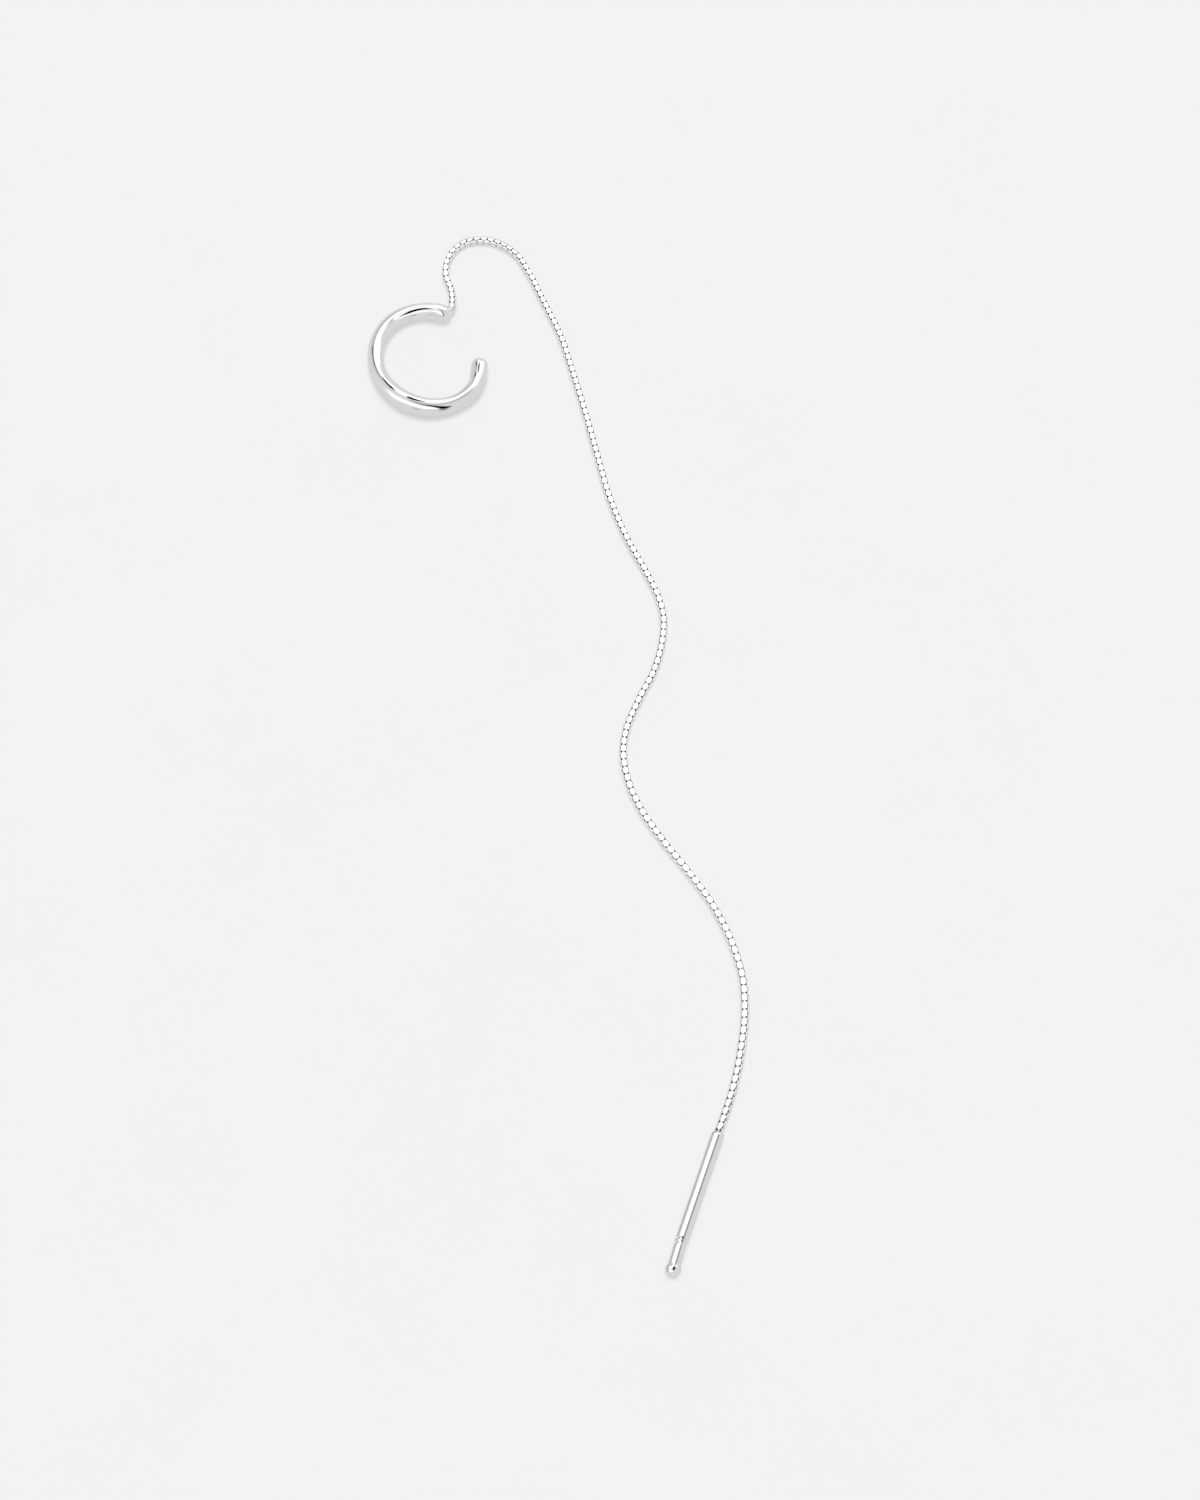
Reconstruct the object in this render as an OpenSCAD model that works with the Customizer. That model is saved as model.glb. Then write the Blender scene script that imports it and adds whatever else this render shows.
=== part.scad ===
// Ear chain earring lying on a flat surface: an open ear cuff, a fine box chain and a threader bar.
// Millimetres. The surface is z = 0, the bar points toward -Y and the cuff lies toward +Y.

/* [Ear cuff] */
// Room inside the ring, from its back toward its mouth
cuff_inside_depth = 8.06; // [7:0.02:12]
// Room inside the ring, across its widest place
cuff_inside_width = 9.12; // [8:0.02:13]
// Thickness of the wire along the ring's arms
cuff_wire = 1.42; // [1:0.02:1.9]
// Thickness of the wire at its thick place
cuff_thick = 1.68; // [1.2:0.02:2.4]
// Angle of the thick place from the ring's back, positive toward the end with the lug
thick_turn = -30; // [-60:1:60]
// Angle over which the thick place runs out on each side
thick_reach = 60; // [30:1:80]
// Thickness of the rounded ends
cuff_end = 1.5; // [1.2:0.02:2.2]
// Open mouth between the two ends, before the free end is pressed in
cuff_mouth = 5.4; // [3:0.1:6.4]
// How far the free end is pressed in
end_tuck = 0.3; // [0:0.05:0.6]
// Turn of the mouth from +X toward +Y
cuff_turn = 33.8; // [0:0.2:60]

/* [Solder lug] */
// Thickness of the soldered lug that carries the chain's first link
lug_d = 0.42; // [0.3:0.02:0.6]
// How far the lug stands out of the rounded end
lug_reach = 0.2; // [0.1:0.05:0.6]
// Direction of the lug from +X toward +Y
lug_turn = 25; // [0:1:50]

/* [Chain] */
// Width of the box chain, the same in both directions
chain_w = 0.66; // [0.4:0.02:1]
// Gap between the chain and what it is soldered to
solder_gap = 0.06; // [0.05:0.01:0.15]

/* [Threader bar] */
// Thickness of the bar that goes through the ear
bar_d = 1; // [0.8:0.05:1.6]
// Length of the bar from its top to its first groove
bar_len = 8.6; // [6:0.1:16]
// Rounding of the bar's top edge
bar_shoulder = 0.3; // [0.1:0.05:0.35]
// Width of each of the two grooves
groove_w = 0.12; // [0.08:0.02:0.4]
// Depth of the grooves
groove_deep = 0.17; // [0.05:0.01:0.25]
// Width of the collar between the grooves
collar_w = 0.2; // [0.1:0.02:0.8]
// Thickness of the tip below the second groove
tip_d = 0.94; // [0.7:0.02:1]
// Length of the tip from the second groove to the middle of the ball
tip_len = 1.9; // [1:0.02:4]
// Sideways bend of the tip at the second groove, toward the bar's right as seen from above
tip_bend = 2.5; // [0:0.5:4]
// Thickness of the ball
ball_d = 1.15; // [1.02:0.01:1.6]
// Turn of the bar from -Y toward +X
bar_turn = -20.2; // [-40:0.2:0]

/* [Hidden] */

// Columns of a route point: its place on the surface, and its height above a chain that lies there
PX = 0;
PY = 1;
LIFT = 2;
// Route of the chain's middle, from the cuff's lug to the bar's top, chosen by hand
ROUTE = [
    [-9.0, 39.1, 0.46],
    [-9.0, 40.1, 0.24],
    [-9.2, 41.3, 0.06],
    [-9.7, 42.8, 0],
    [-9.6, 44.3, 0],
    [-8.9, 45.7, 0],
    [-7.8, 46.5, 0],
    [-6.4, 46.7, 0],
    [-4.8, 46.3, 0],
    [-3.2, 45.1, 0],
    [-2.0, 43.1, 0],
    [-0.6, 40.0, 0],
    [1.1, 36.0, 0],
    [2.1, 32.6, 0],
    [3.3, 28.2, 0],
    [4.4, 23.8, 0],
    [5.5, 19.5, 0],
    [7.1, 15.3, 0],
    [8.7, 12.1, 0],
    [9.7, 9.8, 0],
    [10.1, 8.1, 0],
    [10.0, 5.7, 0],
    [9.3, 3.0, 0],
    [7.9, 0.1, 0],
    [6.9, -2.4, 0],
    [6.6, -4.6, 0],
    [7.0, -7.1, 0],
    [8.0, -9.5, 0],
    [9.6, -12.0, 0],
    [11.8, -14.9, 0],
    [13.8, -17.8, 0],
    [15.3, -21.0, 0],
    [16.1, -24.0, 0],
    [16.2, -26.5, 0],
    [15.8, -29.7, 0],
    [15.1, -32.7, 0],
    [14.3, -35.0, 0.04],
    [13.9, -36.0, 0.17]
];
// Rings of the chain's tube on each stretch between two route points, and the tube's sides
STRETCH_RINGS = 2;
CHAIN_SIDES = 8;

// Sections and sides of the cuff, and rings of each rounded end
CUFF_SECTIONS = 64;
CUFF_SIDES = 24;
CAP_RINGS = 5;
CAP_REACH = 80;
// Share of each arm over which its bulbous end runs out, and of the free arm that is pressed in
END_SHARE = 0.16;
TUCK_SHARE = 0.22;
// Half the step, in degrees, over which the ring's direction is taken
HEADING_STEP = 0.5;

// Roundness of turned parts, and steps of a rounded edge
TURNED = 64;
ARC_STEPS = 5;
// Overlap that joins two stretches of one soldered piece
WELD = 0.05;
UP = [0, 0, 1];
SILVER = [0.86, 0.86, 0.87];

// A share from 0 to 1 with a soft start and stop
function soft(q) = let (s = max(0, min(1, q))) s * s * (3 - 2 * s);
function unit(v) = v / norm(v);
function flat_turn(p, a) = [p[0] * cos(a) - p[1] * sin(a), p[0] * sin(a) + p[1] * cos(a)];

// Points of a rounded edge from one angle to another
function quarter(centre, r, from, to) =
    [for (k = [0 : ARC_STEPS])
        let (w = from + (to - from) * k / ARC_STEPS)
        centre + r * [cos(w), sin(w)]];

// Route points at their real heights
function route_point(i) = [ROUTE[i][PX], ROUTE[i][PY], ROUTE[i][LIFT] + chain_w / 2];
LAST = len(ROUTE) - 1;
function span(i) = norm(route_point(i + 1) - route_point(i));
function slope(i) = (route_point(i + 1) - route_point(i)) / span(i);
// Direction at a route point, weighted toward its shorter stretch
function heading(i) =
    i == 0 ? slope(0)
    : i == LAST ? slope(LAST - 1)
    : (slope(i - 1) * span(i) + slope(i) * span(i - 1)) / (span(i - 1) + span(i));
// Point of the smooth curve at share t of stretch i
function on_curve(i, t) =
    let (
        h = span(i),
        a = route_point(i),
        b = route_point(i + 1),
        m = heading(i) * h,
        n = heading(i + 1) * h
    )
    a * (2 * t * t * t - 3 * t * t + 1) + m * (t * t * t - 2 * t * t + t)
    + b * (3 * t * t - 2 * t * t * t) + n * (t * t * t - t * t);
chain_line = [
    for (i = [0 : LAST - 1], k = [0 : STRETCH_RINGS - 1]) on_curve(i, k / STRETCH_RINGS),
    route_point(LAST)
];
// Flats of the tube lie half a chain's width from its middle
chain_r = chain_w / 2 / cos(180 / CHAIN_SIDES);

// The ring's middle line is an oval about the cuff's own middle
oval_u = (cuff_inside_depth + cuff_wire) / 2;
oval_v = (cuff_inside_width + cuff_wire) / 2;
mouth_angle = asin((cuff_mouth + cuff_end) / 2 / oval_v);
arm_angle = 180 - mouth_angle;
// How far the line is pressed in at angle a from the back, positive toward the end with the lug
function tuck(a) = end_tuck * soft(1 - (arm_angle + a) / arm_angle / TUCK_SHARE);
function oval(a) =
    let (p = [-oval_u * cos(a), oval_v * sin(a)])
    flat_turn(p - unit(p) * tuck(a), cuff_turn);
// Thickness of the wire at angle a
function wire_d(a) =
    cuff_wire + (cuff_thick - cuff_wire) * (1 - soft(abs(a - thick_turn) / thick_reach))
    + (cuff_end - cuff_wire) * soft(1 - (1 - abs(a) / arm_angle) / END_SHARE);

// The lug ends at the chain, and the whole cuff is placed from there
chain_start = route_point(0);
lug_tip = chain_start - slope(0) * (lug_d / 2 + solder_gap);
lug_run = cuff_end / 2 + lug_reach;
end_middle = [
    lug_tip[0] - lug_run * cos(lug_turn),
    lug_tip[1] - lug_run * sin(lug_turn),
    cuff_end / 2
];
cuff_middle = [end_middle[0] - oval(arm_angle)[0], end_middle[1] - oval(arm_angle)[1]];
// A point of the ring's middle line, with the wire resting on the surface
function ring_point(a) = [cuff_middle[0] + oval(a)[0], cuff_middle[1] + oval(a)[1], wire_d(a) / 2];
// Direction of the ring's middle line, along the surface
function ring_heading(a) =
    let (d = oval(a + HEADING_STEP) - oval(a - HEADING_STEP))
    unit([d[0], d[1], 0]);

// A section of a swept skin: middle, direction and radius
function cuff_section(a) = [ring_point(a), ring_heading(a), wire_d(a) / 2];
// Rounded end past the middle line's last point, on side +1 or -1
function cap_section(side, k) =
    let (
        a = side * arm_angle,
        w = CAP_REACH * k / CAP_RINGS,
        r = cuff_end / 2
    )
    [ring_point(a) + ring_heading(a) * side * r * sin(w), ring_heading(a), r * cos(w)];
cuff_sections = [
    for (k = [CAP_RINGS : -1 : 1]) cap_section(-1, k),
    for (k = [0 : CUFF_SECTIONS]) cuff_section(arm_angle * (2 * k / CUFF_SECTIONS - 1)),
    for (k = [1 : CAP_RINGS]) cap_section(1, k)
];
function line_heading(line, i) =
    unit(line[min(i + 1, len(line) - 1)] - line[max(i - 1, 0)]);
chain_sections = [
    for (i = [0 : len(chain_line) - 1]) [chain_line[i], line_heading(chain_line, i), chain_r]
];

// Points of one section, the first of them half a side away from straight sideways
function section_points(s, sides) =
    let (
        across = unit(cross(UP, s[1])),
        over = cross(s[1], across)
    )
    [for (j = [0 : sides - 1])
        let (w = (j + 0.5) * 360 / sides)
        s[0] + s[2] * (across * cos(w) + over * sin(w))];

module swept_skin(sections, sides) {
    last = len(sections) - 1;
    polyhedron(
        points = [for (s = sections) each section_points(s, sides)],
        faces = [
            [for (j = [0 : sides - 1]) j],
            for (i = [0 : last - 1], j = [0 : sides - 1])
                let (k = (j + 1) % sides)
                [i * sides + j, (i + 1) * sides + j, (i + 1) * sides + k, i * sides + k],
            [for (j = [sides - 1 : -1 : 0]) last * sides + j]
        ]
    );
}

// A round rod with a rounded far end, from one point to another
module rod(from, to, d) {
    run = to - from;
    r = d / 2;
    translate(from)
        rotate([0, acos(run[2] / norm(run)), atan2(run[1], run[0])])
            rotate_extrude($fn = TURNED)
                polygon(concat([[0, 0]], [[r, 0]], quarter([0, norm(run)], r, 0, 90)));
}

module ear_cuff() {
    color(SILVER)
        union() {
            swept_skin(cuff_sections, CUFF_SIDES);
            rod(end_middle, lug_tip, lug_d);
        }
}

module box_chain() {
    color(SILVER)
        swept_skin(chain_sections, CHAIN_SIDES);
}

// The bar rests on its top edge and on its ball
groove_at = bar_len;
collar_at = groove_at + groove_w;
second_at = collar_at + collar_w;
bend_at = second_at + groove_w / 2;
tip_at = second_at + groove_w;
ball_at = tip_at + tip_len;
bar_rise = asin((ball_d - bar_d) / 2 / ball_at);
bar_angle = bar_turn - 90;
bar_heading = [cos(bar_rise) * cos(bar_angle), cos(bar_rise) * sin(bar_angle), sin(bar_rise)];
chain_stop = route_point(LAST);
bar_top = [chain_stop[0], chain_stop[1], bar_d / 2] + bar_heading * solder_gap;

// Everything turned is drawn along +Z and laid along the bar
bar_r = bar_d / 2;
groove_r = bar_r - groove_deep;
module upper_bar() {
    rotate_extrude($fn = TURNED)
        polygon(concat(
            [[0, 0]],
            quarter([bar_r - bar_shoulder, bar_shoulder], bar_shoulder, -90, 0),
            [[bar_r, groove_at], [groove_r, groove_at], [groove_r, collar_at], [bar_r, collar_at]],
            [[bar_r, second_at], [groove_r, second_at], [groove_r, tip_at + WELD], [0, tip_at + WELD]]
        ));
}

module lower_bar() {
    rotate_extrude($fn = TURNED)
        polygon([[0, tip_at], [tip_d / 2, tip_at], [tip_d / 2, ball_at], [0, ball_at]]);
    translate([0, 0, ball_at])
        sphere(d = ball_d, $fn = TURNED);
}

module threader_bar() {
    color(SILVER)
        translate(bar_top)
            rotate([0, 90 - bar_rise, bar_angle]) {
                upper_bar();
                translate([0, 0, bend_at])
                    rotate([tip_bend, 0, 0])
                        translate([0, 0, -bend_at])
                            lower_bar();
            }
}

ear_cuff();
box_chain();
threader_bar();
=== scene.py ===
import math
import random

import bpy
import numpy as np
from bpy.props import FloatProperty, FloatVectorProperty, PointerProperty
from mathutils import Matrix


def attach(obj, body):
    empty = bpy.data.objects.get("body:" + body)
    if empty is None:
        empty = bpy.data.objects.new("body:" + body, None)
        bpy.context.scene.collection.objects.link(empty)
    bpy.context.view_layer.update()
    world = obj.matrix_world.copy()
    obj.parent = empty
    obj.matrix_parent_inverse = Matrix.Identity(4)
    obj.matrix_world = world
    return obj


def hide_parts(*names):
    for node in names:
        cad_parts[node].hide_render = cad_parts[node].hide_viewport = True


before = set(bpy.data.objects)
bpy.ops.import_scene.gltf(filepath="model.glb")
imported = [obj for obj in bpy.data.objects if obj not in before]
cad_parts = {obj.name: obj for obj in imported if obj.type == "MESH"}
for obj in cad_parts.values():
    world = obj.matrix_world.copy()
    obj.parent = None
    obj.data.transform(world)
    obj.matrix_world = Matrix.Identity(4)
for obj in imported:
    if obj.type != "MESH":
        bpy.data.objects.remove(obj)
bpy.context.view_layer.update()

bl_info = {
    "name": "Ear chain earring",
    "version": (1, 0, 0),
    "blender": (4, 5, 0),
    "location": "3D View > Sidebar > Earring",
    "description": "Builds a polished ear cuff, its box chain and its threader bar on a pale surface",
    "category": "Add Mesh",
}

BODY = "root"
MM = 0.001
UP = np.array([0.0, 0.0, 1.0])

# Route of the chain's middle, in metres, as in the part's source: place, and height above a chain
# that lies flat. The last column is the chain's roll there, in degrees, positive where its top
# leans to the left of someone who walks from the cuff to the bar.
ROUTE = [
    (-0.0090, 0.0391, 0.00046, 0),
    (-0.0090, 0.0401, 0.00024, 0),
    (-0.0092, 0.0413, 0.00006, 0),
    (-0.0097, 0.0428, 0, 0),
    (-0.0096, 0.0443, 0, 5),
    (-0.0089, 0.0457, 0, 10),
    (-0.0078, 0.0465, 0, 15),
    (-0.0064, 0.0467, 0, 18),
    (-0.0048, 0.0463, 0, 18),
    (-0.0032, 0.0451, 0, 12),
    (-0.0020, 0.0431, 0, 5),
    (-0.0006, 0.0400, 0, 0),
    (0.0011, 0.0360, 0, 0),
    (0.0021, 0.0326, 0, 0),
    (0.0033, 0.0282, 0, 0),
    (0.0044, 0.0238, 0, 0),
    (0.0055, 0.0195, 0, 0),
    (0.0071, 0.0153, 0, 0),
    (0.0087, 0.0121, 0, 0),
    (0.0097, 0.0098, 0, 0),
    (0.0101, 0.0081, 0, 0),
    (0.0100, 0.0057, 0, 0),
    (0.0093, 0.0030, 0, 0),
    (0.0079, 0.0001, 0, 0),
    (0.0069, -0.0024, 0, 0),
    (0.0066, -0.0046, 0, 0),
    (0.0070, -0.0071, 0, 0),
    (0.0080, -0.0095, 0, 0),
    (0.0096, -0.0120, 0, 0),
    (0.0118, -0.0149, 0, 0),
    (0.0138, -0.0178, 0, 0),
    (0.0153, -0.0210, 0, 0),
    (0.0161, -0.0240, 0, -6),
    (0.0162, -0.0265, 0, -14),
    (0.0158, -0.0297, 0, -20),
    (0.0151, -0.0327, 0, -20),
    (0.0143, -0.0350, 0.00004, -20),
    (0.0139, -0.0360, 0.00017, -20),
]

# The surroundings that the polished metal mirrors. Each panel is a soft stroke on the sky, drawn in
# degrees from straight up: brightness, one end, other end, half width at each end, softness.
SKY_COLOUR = (1.0, 1.0, 0.998)
SKY_LEVEL = 0.7
SKY_PANELS = [
    (1.3, (20, 30), (55, 45), 20, 15, 12),
    (1.3, (-50, -20), (-30, -30), 15, 15, 15),
    (1.2, (-10, -45), (5, -45), 15, 12, 10),
    (1.3, (-5, 35), (-5, 60), 10, 12, 6),
    (0.5, (8, 8), (22, 2), 10, 8, 6),
    (0.5, (-40, 40), (-25, 60), 15, 15, 15),
    (0.5, (80, 60), (60, 80), 15, 15, 15),
    (0.5, (-30, -70), (-45, -85), 6, 8, 6),
    (0.3, (23, -52), (26, -80), 8, 9, 6),
    (0.3, (-10, 0), (0, -14), 6, 6, 5),
    (0.0, (0, -12), (14, -38), 4, 6, 3),
    (0.0, (14, -38), (23, -52), 6, 9, 3),
    (0.0, (-33, 35), (-26, 32), 3, 3, 1),
]


class CuffSettings(bpy.types.PropertyGroup):
    inside_depth: FloatProperty(
        name="Inside depth",
        description="Room inside the ring, from its back toward its mouth",
        default=8.06 * MM,
        unit="LENGTH",
    )
    inside_width: FloatProperty(
        name="Inside width",
        description="Room inside the ring, across its widest place",
        default=9.12 * MM,
        unit="LENGTH",
    )
    wire: FloatProperty(
        name="Wire", description="Thickness of the wire", default=1.42 * MM, unit="LENGTH"
    )
    thick: FloatProperty(
        name="Thick place",
        description="Thickness of the wire at its thick place",
        default=1.68 * MM,
        unit="LENGTH",
    )
    thick_turn: FloatProperty(
        name="Thick place's angle",
        description="Angle of the thick place from the ring's back",
        default=math.radians(-30),
        subtype="ANGLE",
    )
    thick_reach: FloatProperty(
        name="Thick place's reach",
        description="Angle over which the thick place runs out on each side",
        default=math.radians(60),
        subtype="ANGLE",
    )
    end: FloatProperty(
        name="Ends", description="Thickness of the rounded ends", default=1.5 * MM, unit="LENGTH"
    )
    mouth: FloatProperty(
        name="Mouth",
        description="Open mouth between the ends, before the free end is pressed in",
        default=5.4 * MM,
        unit="LENGTH",
    )
    tuck: FloatProperty(
        name="Tuck",
        description="How far the free end is pressed in",
        default=0.3 * MM,
        unit="LENGTH",
    )
    turn: FloatProperty(
        name="Turn",
        description="Turn of the mouth from +X toward +Y",
        default=math.radians(33.8),
        subtype="ANGLE",
    )
    lug: FloatProperty(
        name="Lug", description="Thickness of the soldered lug", default=0.42 * MM, unit="LENGTH"
    )
    lug_reach: FloatProperty(
        name="Lug's reach",
        description="How far the lug stands out of the rounded end",
        default=0.2 * MM,
        unit="LENGTH",
    )
    lug_turn: FloatProperty(
        name="Lug's turn",
        description="Direction of the lug from +X toward +Y",
        default=math.radians(25),
        subtype="ANGLE",
    )
    silver: FloatVectorProperty(
        name="Silver",
        description="Colour of the cuff's silver",
        default=(0.955, 0.95, 0.94),
        subtype="COLOR",
        min=0,
        max=1,
    )


class ChainSettings(bpy.types.PropertyGroup):
    width: FloatProperty(
        name="Width", description="Width of the box chain", default=0.66 * MM, unit="LENGTH"
    )
    gap: FloatProperty(
        name="Solder gap",
        description="Gap between the chain's route and what it is soldered to",
        default=0.06 * MM,
        unit="LENGTH",
    )
    pitch: FloatProperty(
        name="Pitch",
        description="Distance from one link's middle to the next",
        default=0.33 * MM,
        unit="LENGTH",
    )
    link: FloatProperty(
        name="Link", description="Length of a link, outside", default=0.64 * MM, unit="LENGTH"
    )
    strip: FloatProperty(
        name="Plate", description="Width of a link's plates", default=0.45 * MM, unit="LENGTH"
    )
    neck: FloatProperty(
        name="Neck",
        description="Width of a link's strip where it turns through the next link",
        default=0.17 * MM,
        unit="LENGTH",
    )
    wall: FloatProperty(
        name="Wall", description="Thickness of a link's strip", default=0.125 * MM, unit="LENGTH"
    )
    silver: FloatVectorProperty(
        name="Silver",
        description="Colour of the chain's silver",
        default=(0.955, 0.95, 0.94),
        subtype="COLOR",
        min=0,
        max=1,
    )


class BarSettings(bpy.types.PropertyGroup):
    thick: FloatProperty(
        name="Bar", description="Thickness of the bar", default=1.0 * MM, unit="LENGTH"
    )
    length: FloatProperty(
        name="Length",
        description="Length of the bar from its top to its first groove",
        default=8.6 * MM,
        unit="LENGTH",
    )
    shoulder: FloatProperty(
        name="Shoulder",
        description="Rounding of the bar's top edge",
        default=0.3 * MM,
        unit="LENGTH",
    )
    groove: FloatProperty(
        name="Groove", description="Width of each groove", default=0.12 * MM, unit="LENGTH"
    )
    groove_deep: FloatProperty(
        name="Groove's depth", description="Depth of the grooves", default=0.17 * MM, unit="LENGTH"
    )
    collar: FloatProperty(
        name="Collar",
        description="Width of the collar between the grooves",
        default=0.2 * MM,
        unit="LENGTH",
    )
    tip: FloatProperty(
        name="Tip", description="Thickness of the tip", default=0.94 * MM, unit="LENGTH"
    )
    tip_length: FloatProperty(
        name="Tip's length",
        description="Length of the tip from the second groove to the ball's middle",
        default=1.9 * MM,
        unit="LENGTH",
    )
    tip_bend: FloatProperty(
        name="Tip's bend",
        description="Bend of the tip at the second groove, toward the bar's right",
        default=math.radians(2.5),
        subtype="ANGLE",
    )
    ball: FloatProperty(
        name="Ball", description="Thickness of the ball", default=1.15 * MM, unit="LENGTH"
    )
    turn: FloatProperty(
        name="Turn",
        description="Turn of the bar from -Y toward +X",
        default=math.radians(-20.2),
        subtype="ANGLE",
    )
    silver: FloatVectorProperty(
        name="Silver",
        description="Colour of the bar's silver",
        default=(0.955, 0.95, 0.94),
        subtype="COLOR",
        min=0,
        max=1,
    )


class StudioSettings(bpy.types.PropertyGroup):
    aim: FloatVectorProperty(
        name="Aim",
        description="Point of the surface under the middle of the view",
        default=(4.65 * MM, -4.22 * MM, 0),
        subtype="TRANSLATION",
        unit="LENGTH",
    )
    distance: FloatProperty(
        name="Distance",
        description="Distance from the aim to the camera",
        default=151.4 * MM,
        unit="LENGTH",
    )
    elevation: FloatProperty(
        name="Elevation",
        description="Angle of the view above the surface",
        default=math.radians(69.5),
        subtype="ANGLE",
    )
    lens: FloatProperty(
        name="Lens",
        description="Focal length on a sensor 36 mm high",
        default=43.2,
        min=10,
        max=200,
    )
    floor: FloatVectorProperty(
        name="Surface",
        description="Colour of the pale surface",
        default=(0.9, 0.89, 0.875),
        subtype="COLOR",
        min=0,
        max=1,
    )
    fill: FloatProperty(
        name="Fill light", description="Strength of the shadowless light", default=2.11, min=0
    )
    key: FloatProperty(
        name="Key light", description="Strength of the soft key light", default=1.06, min=0
    )
    key_height: FloatProperty(
        name="Key's height",
        description="Angle of the key light above the surface",
        default=math.radians(77),
        subtype="ANGLE",
    )
    key_turn: FloatProperty(
        name="Key's turn",
        description="Direction of the key light from +Y toward +X",
        default=math.radians(5),
        subtype="ANGLE",
    )
    key_spread: FloatProperty(
        name="Key's spread",
        description="Width of the key light, seen from the surface",
        default=math.radians(36),
        subtype="ANGLE",
    )


class Value:
    """One number of a shader, so that shader maths reads as plain expressions."""

    def __init__(self, graph, link):
        self.graph = graph
        self.link = link

    def math(self, operation, *others):
        return self.graph.math(operation, self, *others)

    def __add__(self, other):
        return self.math("ADD", other)

    __radd__ = __add__

    def __mul__(self, other):
        return self.math("MULTIPLY", other)

    __rmul__ = __mul__

    def __sub__(self, other):
        return self.math("SUBTRACT", other)

    def __rsub__(self, other):
        return self.graph.math("SUBTRACT", other, self)

    def __truediv__(self, other):
        return self.math("DIVIDE", other)

    def __rtruediv__(self, other):
        return self.graph.math("DIVIDE", other, self)

    def clamp(self):
        return self.math("MINIMUM", 1.0).math("MAXIMUM", 0.0)

    def between(self, low, high):
        """0 at low, 1 at high and a soft start and stop between them."""
        settings = {"interpolation_type": "SMOOTHSTEP"}
        sockets = {"Value": self, "From Min": low, "From Max": high}
        return self.graph.node("ShaderNodeMapRange", settings, sockets)["Result"]


class Node:
    """A shader node whose outputs are read by name."""

    def __init__(self, graph, made):
        self.graph = graph
        self.made = made

    def __getitem__(self, name):
        return Value(self.graph, self.made.outputs[name])


# A Mix node repeats its sockets' names for each kind of value, so those for colours go by number.
MIX_SHARE, MIX_LOW, MIX_HIGH = 0, 6, 7
MIX_RESULT = 2


class Graph:
    """The node tree of one material or of the world, emptied and ready to be written."""

    def __init__(self, tree):
        self.tree = tree
        tree.nodes.clear()

    def node(self, kind, settings=None, sockets=None):
        """Adds a node: its settings first, then the value or link of each socket."""
        made = self.tree.nodes.new(kind)
        for name, value in (settings or {}).items():
            setattr(made, name, value)
        for name, value in (sockets or {}).items():
            socket = made.inputs[name]
            if isinstance(value, Value):
                self.tree.links.new(value.link, socket)
            else:
                socket.default_value = value
        return Node(self, made)

    def math(self, operation, *terms):
        """A number worked out from values and plain numbers, in their order."""
        numbers = dict(enumerate(terms))
        return self.node("ShaderNodeMath", {"operation": operation}, numbers)["Value"]

    def split(self, vector):
        parts = self.node("ShaderNodeSeparateXYZ", {}, {"Vector": vector})
        return parts["X"], parts["Y"], parts["Z"]

    def mix(self, share, low, high):
        """A colour between two colours."""
        sockets = {MIX_SHARE: share, MIX_LOW: low, MIX_HIGH: high}
        made = self.node("ShaderNodeMix", {"data_type": "RGBA"}, sockets).made
        return Value(self, made.outputs[MIX_RESULT])

    def noise(self, place, scale, detail=2.0, roughness=0.5):
        sockets = {"Vector": place, "Scale": scale, "Detail": detail, "Roughness": roughness}
        return self.node("ShaderNodeTexNoise", {}, sockets)["Fac"]


def smooth_share(q):
    """0 up to 0, 1 from 1 on, and a soft start and stop between them."""
    s = np.clip(q, 0.0, 1.0)
    return s * s * (3 - 2 * s)


def unit(v):
    v = np.asarray(v, float)
    return v / np.linalg.norm(v, axis=-1, keepdims=True)


def colour4(rgb, level=1.0):
    return (*[channel * level for channel in rgb], 1.0)


def quarter(centre, radius, start, stop, steps):
    """Points of a rounded edge from one angle to another, in degrees."""
    angles = np.radians(np.linspace(start, stop, steps + 1))
    return [
        (centre[0] + radius * math.cos(w), centre[1] + radius * math.sin(w)) for w in angles
    ]


def mesh_object(name, points, faces):
    """A smooth-shaded mesh object made from points and faces."""
    mesh = bpy.data.meshes.new(name)
    mesh.from_pydata([tuple(p) for p in points], [], faces)
    mesh.validate()
    mesh.polygons.foreach_set("use_smooth", [True] * len(mesh.polygons))
    mesh.update()
    made = bpy.data.objects.new(name, mesh)
    bpy.context.scene.collection.objects.link(made)
    return made


def ring_faces(rings, sides):
    """Faces of a skin over closed rings, with a point at each end: the last two points."""
    start, stop = rings * sides, rings * sides + 1
    faces = []
    for j in range(sides):
        k = (j + 1) % sides
        faces.append((start, k, j))
        faces.append(((rings - 1) * sides + j, (rings - 1) * sides + k, stop))
        for i in range(rings - 1):
            faces.append((i * sides + j, i * sides + k, (i + 1) * sides + k, (i + 1) * sides + j))
    return faces


def turned(outline, origin, heading, sides):
    """Points and faces of an outline (radius, distance) turned about a line; it starts and stops on it."""
    heading = unit(heading)
    across = unit(np.cross(UP, heading))
    over = np.cross(heading, across)
    angles = np.arange(sides) * 2 * math.pi / sides
    spoke = np.cos(angles)[:, None] * across + np.sin(angles)[:, None] * over
    rings = [origin + heading * along + spoke * radius for radius, along in outline[1:-1]]
    ends = [origin + heading * outline[0][1], origin + heading * outline[-1][1]]
    points = np.concatenate(rings + [np.array(ends)])
    return points, ring_faces(len(outline) - 2, sides)


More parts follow.
